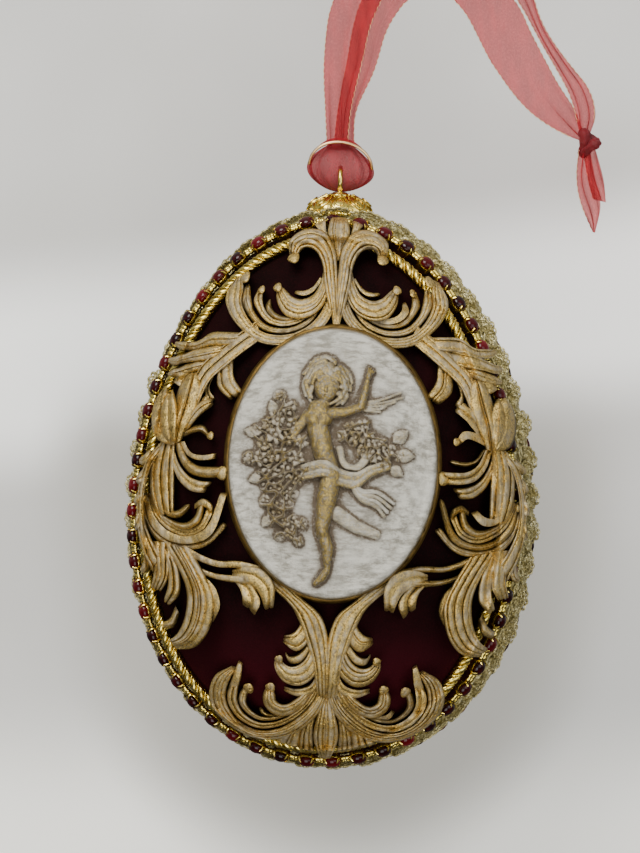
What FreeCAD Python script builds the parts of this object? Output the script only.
import FreeCAD, Part
import math
import os
from FreeCAD import Rotation, Vector

# A hanging decorated egg: a foam egg under two velvet covers, a lace band and rows of braid and
# rhinestone chain round its sides, four cast scrolls and an oval cameo on each face, and a screw eye
# with a ribbon at its narrow end.  Millimetres.  The origin is the egg's centre of volume, +Z points
# to the narrow end, and the front face looks along -Y.

# --- egg -----------------------------------------------------------------------------------------
core_height = 100.0          # a standard 10 cm craft egg
core_width = 71.2
narrowing = 0.10             # how much slimmer the top half is than an ellipsoid
middle_z = 2.0               # half-way height of the core above its centre of volume
glue_gap = 0.05              # film of glue between neighbouring layers
velvet_thickness = 0.8
seam_gap = 0.3               # between the two velvet covers
band_turn = -6.0             # degrees: the glued side band is turned about Z from the faces

# --- side band -----------------------------------------------------------------------------------
lace_width = 14.6
lace_thickness = 1.05
chain_distance = 11.3        # of the chain from the seam plane, mean of top and side
chain_swing = 1.7            # wider at the sides and narrower at the poles by this much
stone_count = 57
cup_radius = 1.35
cup_height = 1.9
seat_radius = 1.2
seat_depth = 1.25
stone_radius = 1.12
stone_table_radius = 0.7
stone_crown = 0.45
stone_clearance = 0.08
link_radius = 0.3
link_lift = 0.9
link_clearance = 0.15
cord_radius = 1.2
cord_offset = 3.5            # from the chain towards the middle of the face
cord_end_gap = 0.004         # radians left between the cord's ends and the bottom

# --- cameo ---------------------------------------------------------------------------------------
cameo_centre_z = 6.8
cameo_half_width = 19.7
cameo_half_height = 25.7
cameo_rise = 6.0             # of its top above the core
figure_rise = 8.0            # of the raised figure field
figure_half_width = 12.0
figure_half_height = 20.0
figure_root = 1.0             # depth of the figure field inside the plaque
rim_width = 0.8
rim_rise = 2.6

# --- cast scrolls ----------------------------------------------------------------------------------
scroll_rise = 4.4            # of their top above the core
over_rows_lift = 3.5         # underside of the leaves that pass over the edge rows
front_start = -4.0           # y where the castings' outlines start
face_scale = 40.0            # mm of unrolled face per radian from the face's centre
neighbour_scale = 1.03       # a neighbour grown by this leaves the gap between two castings
steps_per_span = 3           # straight steps between two points of an outline
shortest_step = 0.05
casting_gap = 0.2            # between the castings and the cameo's rim
window_margin = 0.3          # between the castings' seated part and the braid

# --- top fittings ----------------------------------------------------------------------------------
cap_radius = 6.2
cap_height = 4.4
cap_wall = 0.6
eye_radius = 2.4
eye_wire = 0.45
shank_radius = 0.8
shank_length = 14.0
cap_sink = 0.75              # of the cap's base below the crown of the lace
eye_gap = 0.25               # between the cap and the eye's wire

# --- ribbon ------------------------------------------------------------------------------------------
hitch_half = Vector(5.8, 2.6, 4.5)
pivot_above_eye = 8.3        # height of the ribbon's bend above the centre of the eye
ribbon_thickness = 0.5
ring_clearance = 0.3
hitch_drop = 1.1             # of the gathered ribbon's top below the bend
knot_centre = Vector(46.5, 0.0, 69.0)
knot_half = Vector(2.3, 2.0, 2.9)

lace_lift = velvet_thickness + 2 * glue_gap
trim_lift = velvet_thickness + 2 * glue_gap
top_z = middle_z + core_height / 2
cap_base_z = top_z + lace_lift + lace_thickness - cap_sink
eye_z = cap_base_z + cap_height + eye_radius + eye_gap
pivot_z = eye_z + pivot_above_eye
up = Vector(0, 0, 1)
origin = Vector(0, 0, 0)


# --- the egg's surface -----------------------------------------------------------------------------
def egg_radius(z, grow):
    """Radius at height z of the core grown outwards by grow."""
    cosine = (z - middle_z) / (core_height / 2 + grow)
    if abs(cosine) >= 1:
        return 0.0
    return (core_width / 2 + grow) * math.sqrt(1 - cosine * cosine) * (1 - narrowing * cosine)


def egg_solid(grow):
    """The core's shape grown outwards by grow, turned from half of its closed outline."""
    steps = 16
    points = []
    for step in range(2 * steps):
        angle = math.pi * (1 + step / steps)
        z = middle_z + (core_height / 2 + grow) * math.cos(angle)
        side = 1 if step < steps else -1
        points.append(Vector(side * egg_radius(z, grow), 0, z))
    outline = Part.BSplineCurve()
    outline.interpolate(Points=points, PeriodicFlag=True)
    top = outline.parameter(points[steps])
    half = outline.toShape(outline.FirstParameter, top)
    axis = Part.makeLine(points[steps], points[0])
    return Part.Face(Part.Wire([half, axis])).revolve(origin, up, 360)


def egg_shell(inner, outer):
    return egg_solid(outer).cut(egg_solid(inner))


def egg_normal(point, grow):
    """Outward direction of the grown egg at a point on it."""
    step = 0.01
    slope = (egg_radius(point.z + step, grow) - egg_radius(point.z - step, grow)) / (2 * step)
    radius = math.hypot(point.x, point.y)
    normal = Vector(point.x / radius, point.y / radius, -slope)
    return normal.normalize()


def reach(direction, grow):
    """Where a ray from the origin leaves the grown egg."""
    low, high = 0.0, core_height
    for _ in range(50):
        middle = (low + high) / 2
        if math.hypot(direction.x, direction.y) * middle < egg_radius(direction.z * middle, grow):
            low = middle
        else:
            high = middle
    return direction * low


# --- the side band's path ----------------------------------------------------------------------------
def edge_distance(angle, extra):
    """Distance from the seam plane, at an angle round the egg's outline from the top."""
    return chain_distance - chain_swing * math.cos(2 * angle) + extra


def edge_point(angle, extra, grow):
    """Point of a row on the front side of the band, on the grown egg."""
    distance = edge_distance(angle, extra)
    low, high = 0.0, core_height
    for _ in range(50):
        middle = (low + high) / 2
        z = middle_z + middle * math.cos(angle)
        if math.hypot(middle * math.sin(angle), distance) < egg_radius(z, grow):
            low = middle
        else:
            high = middle
    return Vector(low * math.sin(angle), -distance, middle_z + low * math.cos(angle))


def spaced_angles(count, extra, grow):
    """Angles that place count equal steps along a row."""
    samples = 1440
    angles = [2 * math.pi * i / samples for i in range(samples + 1)]
    points = [edge_point(a, extra, grow) for a in angles]
    lengths = [0.0]
    for before, after in zip(points, points[1:]):
        lengths.append(lengths[-1] + (after - before).Length)
    found, index = [], 0
    for number in range(count):
        wanted = lengths[-1] * number / count
        while lengths[index + 1] < wanted:
            index += 1
        share = (wanted - lengths[index]) / (lengths[index + 1] - lengths[index])
        found.append(angles[index] + share * (angles[1] - angles[0]))
    return found


def turn_band(shape):
    return shape.rotate(origin, up, band_turn)


# --- placing and writing -----------------------------------------------------------------------------
def to_back(shape):
    """Copy of a front piece on the back face: half a turn about Z."""
    copy = shape.copy()
    return copy.rotate(origin, up, 180)


def write(name, shape):
    shape.exportStep("parts/" + name + ".step")


def write_pair(name, shape):
    write("front_" + name, shape)
    write("back_" + name, to_back(shape))


# --- core and covers ---------------------------------------------------------------------------------
def shank_hole(clearance):
    base = Vector(0, 0, top_z - shank_length)
    return Part.makeCylinder(shank_radius + clearance, 2 * shank_length, base)


def foam_core():
    return egg_solid(0).cut(shank_hole(glue_gap))


def velvet_cover():
    """The front half of the velvet skin, ending at the seam plane."""
    shell = egg_shell(glue_gap, glue_gap + velvet_thickness)
    size = 2 * core_height
    half_space = Part.makeBox(size, size, size, Vector(-size / 2, -size - seam_gap / 2, -size / 2))
    return turn_band(shell.common(half_space)).cut(shank_hole(glue_gap))


def lace_band():
    shell = egg_shell(lace_lift, lace_lift + lace_thickness)
    size = 2 * core_height
    slab = Part.makeBox(size, lace_width, size, Vector(-size / 2, -lace_width / 2, -size / 2))
    return turn_band(shell.common(slab)).cut(shank_hole(glue_gap))


# --- rhinestone chain and braid ------------------------------------------------------------------------
def place_on_row(shape, angle, extra):
    """Stand a shape built round +Z on a row, its x axis along the row."""
    step = 0.001
    point = edge_point(angle, extra, trim_lift)
    ahead = edge_point(angle + step, extra, trim_lift)
    normal = egg_normal(point, trim_lift)
    along = (ahead - point).normalize()
    across = normal.cross(along).normalize()
    along = across.cross(normal).normalize()
    copy = shape.copy()
    copy.Placement = FreeCAD.Placement(point, Rotation(along, across, normal, "ZXY"))
    return copy


def cup():
    body = Part.makeCylinder(cup_radius, cup_height)
    floor_radius = 0.3
    seat = Part.makeCone(floor_radius, seat_radius, seat_depth, Vector(0, 0, cup_height - seat_depth))
    return body.cut(seat)


def stone():
    """A brilliant: a cone that follows the cup's seat, and a flat-topped crown."""
    point_radius = 0.2
    depth = seat_depth - stone_clearance
    girdle = cup_height + glue_gap
    pavilion = Part.makeCone(point_radius, stone_radius, depth, Vector(0, 0, girdle - depth))
    crown = Part.makeCone(stone_radius, stone_table_radius, stone_crown, Vector(0, 0, girdle))
    return pavilion.fuse(crown)


def chain_row(shape):
    angles = spaced_angles(stone_count, 0, trim_lift)
    return turn_band(Part.makeCompound([place_on_row(shape, a, 0) for a in angles]))


def chain_links():
    """The bars that join the cups, from cup to cup."""
    angles = spaced_angles(stone_count, 0, trim_lift)
    points = []
    for angle in angles:
        point = edge_point(angle, 0, trim_lift)
        points.append(point + egg_normal(point, trim_lift) * link_lift)
    bars = []
    for start, end in zip(points, points[1:] + points[:1]):
        direction = (end - start).normalize()
        margin = cup_radius + link_clearance
        length = (end - start).Length - 2 * margin
        bars.append(Part.makeCylinder(link_radius, length, start + direction * margin, direction))
    return turn_band(Part.makeCompound(bars))


def edge_cord():
    """The braid as a round cord whose ends meet at the bottom."""
    lift = trim_lift + cord_radius + glue_gap
    count = 56
    first = math.pi + cord_end_gap
    last = 3 * math.pi - cord_end_gap
    angles = [first + (last - first) * i / count for i in range(count + 1)]
    curve = Part.BSplineCurve()
    curve.interpolate(Points=[edge_point(angle, cord_offset, lift) for angle in angles])
    middle = (curve.FirstParameter + curve.LastParameter) / 2
    lengths = []
    for start, end in ((curve.FirstParameter, middle), (middle, curve.LastParameter)):
        edge = curve.toShape(start, end)
        section = Part.makeCircle(cord_radius, edge.valueAt(start), edge.tangentAt(start))
        lengths.append(Part.Wire([edge]).makePipeShell([Part.Wire([section])], True, True))
    return turn_band(lengths[0].fuse(lengths[1]))


# --- cameo -----------------------------------------------------------------------------------------------
def oval_prism(half_width, half_height):
    """Oval column through the front face, along -Y."""
    half_major, half_minor = max(half_width, half_height), min(half_width, half_height)
    centre = Vector(0, 0, cameo_centre_z)
    tall = Part.Ellipse(centre + Vector(0, 0, half_major), centre + Vector(half_minor, 0, 0), centre)
    return Part.Face(Part.Wire([tall.toShape()])).extrude(Vector(0, -core_height, 0))


def cameo():
    field = oval_prism(cameo_half_width, cameo_half_height)
    plaque = field.common(egg_shell(trim_lift, cameo_rise))
    figure = oval_prism(figure_half_width, figure_half_height)
    return plaque.fuse(figure.common(egg_shell(cameo_rise - figure_root, figure_rise)))


def cameo_rim():
    inner = oval_prism(cameo_half_width + glue_gap, cameo_half_height + glue_gap)
    outer = oval_prism(cameo_half_width + rim_width, cameo_half_height + rim_width)
    return outer.cut(inner).common(egg_shell(trim_lift, rim_rise))


# --- cast scrolls ------------------------------------------------------------------------------------------
# Each casting is a list of rib bundles.  A bundle lies between two edges, given as points (right, up)
# in millimetres on the unrolled face, measured from the face's centre, for the right-hand side.
top_scroll_bundles = [
    # upper volute
    ([(-0.4, 37), (-0.4, 44), (1.4, 49), (4.2, 52.2), (7.5, 52.6), (10, 50.2), (9, 46.8)],
     [(1.6, 37), (3, 41), (3.1, 44.5), (4.5, 48), (6.5, 49), (7.9, 47.8), (8.6, 46.6)]),
    # lower crescent
    ([(-0.4, 44), (1, 38), (3.6, 33.5), (8.6, 30.4), (14.5, 31), (20.5, 35.5), (24, 41.5), (23.2, 45),
      (20.8, 47.2)],
     [(2.6, 44), (3, 39.5), (5.5, 36), (9, 34.6), (13, 35), (16, 37.6), (17.6, 41), (18.2, 44),
      (20.2, 47)]),
    # curled leaf inside the crescent
    ([(1.5, 40), (3.5, 36.5), (7.5, 34.8), (11, 36), (12.6, 39), (12.6, 41.8)],
     [(3.1, 42), (4.6, 39.6), (7.5, 38.6), (9.6, 39.3), (10.8, 41), (12.2, 42)]),
    # palmette
    ([(-0.4, 48), (-0.4, 52), (-0.4, 57)],
     [(1.5, 48.5), (2, 53), (0.8, 57)]),
]

side_scroll_bundles = [
    # upper stem, from under the crescent
    ([(19, 34.6), (25, 31.2), (30, 28.6), (31.5, 24)],
     [(16.8, 31.2), (22, 28), (27, 24.6), (30, 21)]),
    # fan leaf
    ([(23, 32.5), (27, 34.8), (31, 33.6), (37, 35.5), (41.5, 37.5)],
     [(27, 28.5), (31, 29.4), (36, 30.8), (39, 33), (41.2, 36.8)]),
    # hook beside the cameo
    ([(21.5, 28.8), (21, 25), (19, 21.8)],
     [(25, 27), (24.6, 23.5), (22, 20.6)]),
    # bud, outer and inner petals
    ([(37.5, 11.5), (43, 14), (46.6, 19), (46.5, 24), (44, 25.6)],
     [(36.5, 11.5), (36.4, 16), (37.5, 20), (39, 24), (41, 25.8)]),
    ([(38.5, 11.5), (39.4, 17), (38.5, 22), (36, 27), (33.5, 28)],
     [(34.5, 12.5), (32, 17), (30.2, 21), (30, 25), (31.5, 27.5)]),
    # branch and hook on the inner side of the bud
    ([(36, 13.5), (32, 18.5), (29, 20.6), (26.4, 20.8)],
     [(34, 13), (31, 16), (28.5, 18), (26.2, 19.4)]),
    ([(34.5, 14.5), (31, 15.4), (28, 15.2), (26.5, 13)],
     [(34, 13), (31, 13.6), (29, 13.8), (27.4, 12.8)]),
    # leaf curling under the bud
    ([(38.5, 12.5), (37, 8), (34.5, 4), (31, 1.6), (27.5, 0.9)],
     [(33.6, 12.2), (31.5, 8.8), (28.5, 7.6), (25, 8), (23, 6.4)]),
    # ribbed stem
    ([(42, 12), (44.6, 8), (44.8, 3), (43.5, -1), (40.5, -4)],
     [(36.4, 12), (36, 7), (35.7, 2), (35.5, -2), (35.2, -5)]),
    # outer leaf, over the edge rows
    ([(41, 12), (48, 8.5), (51.5, 1), (50.5, -8), (46, -14), (41.5, -18)],
     [(40, 11.5), (45, 6.5), (47.2, 0), (46.6, -6), (42, -11), (38.5, -14)]),
    # nested crescents
    ([(48.4, 0), (46.4, -6), (41, -10.2), (33, -11.6), (26, -10.2), (21.4, -6)],
     [(46.4, 0), (43, -5.8), (37, -8.7), (31, -9.2), (25.4, -8), (22.6, -5.6)]),
    ([(46.8, 0.5), (43, -5.6), (37, -9), (30.6, -9.4), (25, -7), (22, 0.5)],
     [(44.8, 0.5), (41, -3.8), (36, -6.1), (30.5, -6.5), (26, -5), (23.6, 0.5)]),
    ([(45.2, 0), (40, -5.6), (35, -7.4), (30.5, -6.8), (27.2, -2)],
     [(44, 0), (39.5, -3.5), (35.5, -5), (31.5, -4.8), (28.8, -1.9)]),
    ([(44.8, 0), (40.5, -4), (36.5, -5.2), (32.8, -4.6), (30.6, -2.1)],
     [(44.4, 0.8), (40.8, -2), (37, -3.4), (33.8, -3), (31.9, -1.8)]),
    # flaring leaf below
    ([(44.5, -11), (41.6, -15), (41.2, -18.5), (42.5, -22)],
     [(36, -10.5), (36.4, -15), (36.4, -18.5), (38.5, -21.5)]),
    ([(40, -10.5), (36, -15), (33.5, -20), (33.8, -25), (35.5, -30), (36.5, -32.4)],
     [(30, -11.5), (26, -16.5), (23.6, -21), (24.8, -27), (28, -31.5), (34, -33.4)]),
    # slotted arm and its curled end
    ([(31, -10.8), (27, -12.4), (23, -13.2), (18, -12.9), (13, -13.6)],
     [(32, -12.6), (27, -13.8), (23, -14.4), (18, -14.2), (13.4, -15)]),
    ([(31, -12.5), (27, -14.6), (23, -15.6), (18, -15.5), (13, -15.2)],
     [(31, -14.6), (26, -16.2), (22, -16.8), (18, -17), (14.4, -16.8)]),
    ([(17, -14), (13.5, -14.2), (11, -16.6), (10.6, -20.6)],
     [(17, -16.4), (16, -17.6), (16.2, -19.4), (14.2, -22.4)]),
]

bottom_scroll_bundles = [
    # arm from under the cameo
    ([(5.2, -18), (2.2, -21.5), (0.2, -25.5), (-0.4, -31), (-0.4, -36)],
     [(9.4, -17.6), (6.4, -21), (5.4, -25), (4.4, -30), (3.4, -36)]),
    # lobes
    ([(5, -21), (5.6, -24.5), (7, -25.8), (8.8, -26.4)],
     [(2, -25), (4, -27.6), (6.6, -28.6), (8.8, -27.4)]),
    ([(4.6, -26.6), (6, -30), (7.8, -31.2), (10, -29.8)],
     [(1.6, -31), (4, -34.8), (8, -35.2), (10.6, -31.6)]),
    ([(4, -31), (6, -34.4), (8, -34.8), (9.6, -34)],
     [(2, -34), (5.4, -36.8), (8, -37.2), (9.8, -35)]),
    # main sweep
    ([(-0.4, -34), (3.2, -42), (8.6, -47.6), (14.6, -50), (21, -49.4), (25.6, -45.6), (25.4, -40.6),
      (18.6, -32.2)],
     [(3.4, -32), (6.4, -38), (9.6, -42), (13, -43.9), (16.2, -43.4), (17.9, -41), (17.4, -37.6),
      (17.4, -32.8)]),
    # finger on its inner side
    ([(5.5, -41), (9.4, -43), (12.2, -41.4), (12.8, -38), (12, -36.2)],
     [(5, -36), (8, -39.2), (10.2, -39.4), (10.6, -37.6), (11.4, -36.2)]),
    # palmette
    ([(-0.4, -37), (-0.4, -46), (-0.4, -54)],
     [(2.4, -38), (5.5, -46.5), (0.6, -54)]),
    ([(0.8, -40), (3, -46), (6.6, -49.4)],
     [(4, -41), (6, -45), (8.6, -48.6)]),
]


def face_point(right, height):
    """Point of the unrolled face, carried to the castings' middle level on the egg."""
    away = math.hypot(right, height) / face_scale
    heading = math.atan2(height, right)
    across = math.sin(away)
    direction = Vector(across * math.cos(heading), -math.cos(away), across * math.sin(heading))
    point = reach(direction, (trim_lift + scroll_rise) / 2)
    return Vector(point.x, front_start, point.z)


def smooth(points):
    """Centripetal curve through the points, as short straight steps."""
    ends = [2 * points[0] - points[1], 2 * points[-1] - points[-2]]
    line = [ends[0]] + points + [ends[1]]
    curve = []
    for p0, p1, p2, p3 in zip(line, line[1:], line[2:], line[3:]):
        t1 = math.sqrt((p1 - p0).Length)
        t2 = t1 + math.sqrt((p2 - p1).Length)
        t3 = t2 + math.sqrt((p3 - p2).Length)
        for step in range(steps_per_span):
            t = t1 + (t2 - t1) * step / steps_per_span
            a1 = p0 * ((t1 - t) / t1) + p1 * (t / t1)
            a2 = p1 * ((t2 - t) / (t2 - t1)) + p2 * ((t - t1) / (t2 - t1))
            a3 = p2 * ((t3 - t) / (t3 - t2)) + p3 * ((t - t2) / (t3 - t2))
            b1 = a1 * ((t2 - t) / t2) + a2 * (t / t2)
            b2 = a2 * ((t3 - t) / (t3 - t1)) + a3 * ((t - t1) / (t3 - t1))
            curve.append(b1 * ((t2 - t) / (t2 - t1)) + b2 * ((t - t1) / (t2 - t1)))
    curve.append(points[-1])
    return curve


def bundle_face(bundle, side):
    """Flat outline of a rib bundle, seen from the front."""
    first, second = [smooth([Vector(side * right, height, 0) for right, height in edge]) for edge in bundle]
    outline = [face_point(point.x, point.y) for point in first + second[::-1]]
    corners = [outline[0]]
    for point in outline[1:]:
        if (point - corners[-1]).Length > shortest_step:
            corners.append(point)
    if (corners[0] - corners[-1]).Length < shortest_step:
        corners.pop()
    return Part.Face(Part.makePolygon(corners + corners[:1]))


def face_window():
    """The part of the front inside the braid, as a column along -Y."""
    inside = cord_offset + cord_radius + window_margin
    count = 36
    curve = Part.BSplineCurve()
    points = []
    for i in range(count):
        point = edge_point(2 * math.pi * i / count, inside, trim_lift)
        point = FreeCAD.Placement(origin, Rotation(up, band_turn)).multVec(point)
        points.append(Vector(point.x, 0, point.z))
    curve.interpolate(Points=points, PeriodicFlag=True)
    return Part.Face(Part.Wire([curve.toShape()])).extrude(Vector(0, -core_height, 0))


def casting(bundles, sides):
    """One cast scroll: its bundles joined, cut to the room on the face and laid on the egg."""
    depth = Vector(0, -core_height, 0)
    columns = [bundle_face(bundle, side).extrude(depth) for side in sides for bundle in bundles]
    column = columns[0].multiFuse(columns[1:]).removeSplitter()
    around_cameo = rim_width + casting_gap
    clear = oval_prism(cameo_half_width + around_cameo, cameo_half_height + around_cameo)
    row_room = egg_solid(over_rows_lift).cut(face_window())
    laid = column.cut(clear).common(egg_shell(trim_lift, scroll_rise)).cut(row_room)
    return max(laid.Solids, key=lambda solid: solid.Volume)


def grown(shape):
    copy = shape.copy()
    return copy.scale(neighbour_scale, shape.BoundBox.Center)


# --- top fittings --------------------------------------------------------------------------------------------
def bead_cap():
    """Domed cap over the screw eye's shank."""
    sphere_radius = (cap_radius ** 2 + cap_height ** 2) / (2 * cap_height)
    centre = Vector(0, 0, cap_base_z + cap_height - sphere_radius)
    dome = Part.makeSphere(sphere_radius, centre)
    dome = dome.cut(Part.makeSphere(sphere_radius - cap_wall, centre))
    dome = dome.common(Part.makeCylinder(cap_radius, 2 * cap_height, Vector(0, 0, cap_base_z)))
    dome = dome.cut(egg_solid(lace_lift + lace_thickness + glue_gap))
    return dome.cut(shank_hole(glue_gap))


def screw_eye():
    """Wire ring in the YZ plane on a shank that goes into the core."""
    ring = Part.makeTorus(eye_radius, eye_wire, Vector(0, 0, eye_z), Vector(1, 0, 0))
    base = Vector(0, 0, top_z - shank_length)
    shank = Part.makeCylinder(shank_radius, eye_z - eye_radius - base.z, base)
    return ring.fuse(shank)


# --- ribbon ------------------------------------------------------------------------------------------------------
def ellipsoid(centre, half):
    ball = Part.makeSphere(1.0)
    matrix = FreeCAD.Matrix()
    matrix.scale(half.x, half.y, half.z)
    ball = ball.transformGeometry(matrix)
    return ball.translate(centre)


def ribbon_hitch():
    """Gathered ribbon looped through the eye, with a free channel for the eye's wire."""
    centre = Vector(0, 0, pivot_z - hitch_drop - hitch_half.z)
    puff = ellipsoid(centre, hitch_half)
    channel = Part.makeTorus(eye_radius, eye_wire + ring_clearance, Vector(0, 0, eye_z), Vector(1, 0, 0))
    pieces = puff.cut(channel).Solids
    return max(pieces, key=lambda solid: solid.Volume)


def flat_strand(outer, inner, y):
    """A length of ribbon lying in the XZ plane between two edges."""
    curves = []
    for edge in (outer, inner[::-1]):
        curve = Part.BSplineCurve()
        curve.interpolate(Points=[Vector(x, y, z) for x, z in edge])
        curves.append(curve.toShape())
    corners = [curve.valueAt(end) for curve in curves for end in (curve.FirstParameter, curve.LastParameter)]
    across_top = Part.makeLine(corners[1], corners[2])
    across_foot = Part.makeLine(corners[3], corners[0])
    face = Part.Face(Part.Wire([curves[0], across_top, curves[1], across_foot]))
    return face.extrude(Vector(0, ribbon_thickness, 0))


def ribbon_loop():
    """Two strands that rise from the bend and come down together to the knot."""
    foot = pivot_z
    outer_strand = flat_strand(
        [(-0.8, foot), (-3.5, 82), (-2, 95), (8, 107), (22, 109), (35, 99), (42, 84), (46.5, 72)],
        [(0.4, foot), (2.6, 80), (4.6, 92), (11, 99.5), (20, 101), (29, 94), (36, 82), (45.5, 71.4)],
        -ribbon_thickness)
    inner_strand = flat_strand(
        [(-0.4, foot), (0.5, 82), (3.5, 95), (11, 103), (20, 103), (29, 94), (37, 82), (46.5, 72)],
        [(0.8, foot), (6.5, 80), (9.5, 90), (13, 94.6), (18, 94), (24, 86), (33, 75), (45.2, 70)],
        0)
    return outer_strand.fuse(inner_strand)


def ribbon_knot():
    """The knot that joins the strands, and the two cut ends."""
    knot = ellipsoid(knot_centre, knot_half)
    ends = flat_strand([(45.6, 69), (45.9, 62), (48.2, 54.6)],
                       [(48.4, 69), (50, 62), (48.9, 54.6)], -ribbon_thickness / 2)
    return knot.fuse(ends)


def main():
    os.makedirs("parts", exist_ok=True)
    write("foam_core", foam_core())
    write_pair("velvet", velvet_cover())
    write("lace_band", lace_band())
    write_pair("edge_cord", edge_cord())
    write_pair("stone_cups", chain_row(cup()))
    write_pair("stones", chain_row(stone()))
    write_pair("chain_links", chain_links())
    write_pair("cameo", cameo())
    write_pair("cameo_rim", cameo_rim())
    both = (1, -1)
    top = casting(top_scroll_bundles, both)
    bottom = casting(bottom_scroll_bundles, both)
    write_pair("top_scroll", top)
    write_pair("bottom_scroll", bottom)
    for name, side in (("right_scroll", 1), ("left_scroll", -1)):
        piece = casting(side_scroll_bundles, (side,))
        for neighbour in (top, bottom):
            piece = piece.cut(neighbour).cut(grown(neighbour))
        write_pair(name, piece)
    write("bead_cap", bead_cap())
    write("screw_eye", screw_eye())
    write("ribbon_hitch", ribbon_hitch())
    knot = ribbon_knot()
    write("ribbon_loop", ribbon_loop().cut(grown(knot)))
    write("ribbon_knot", knot)


main()
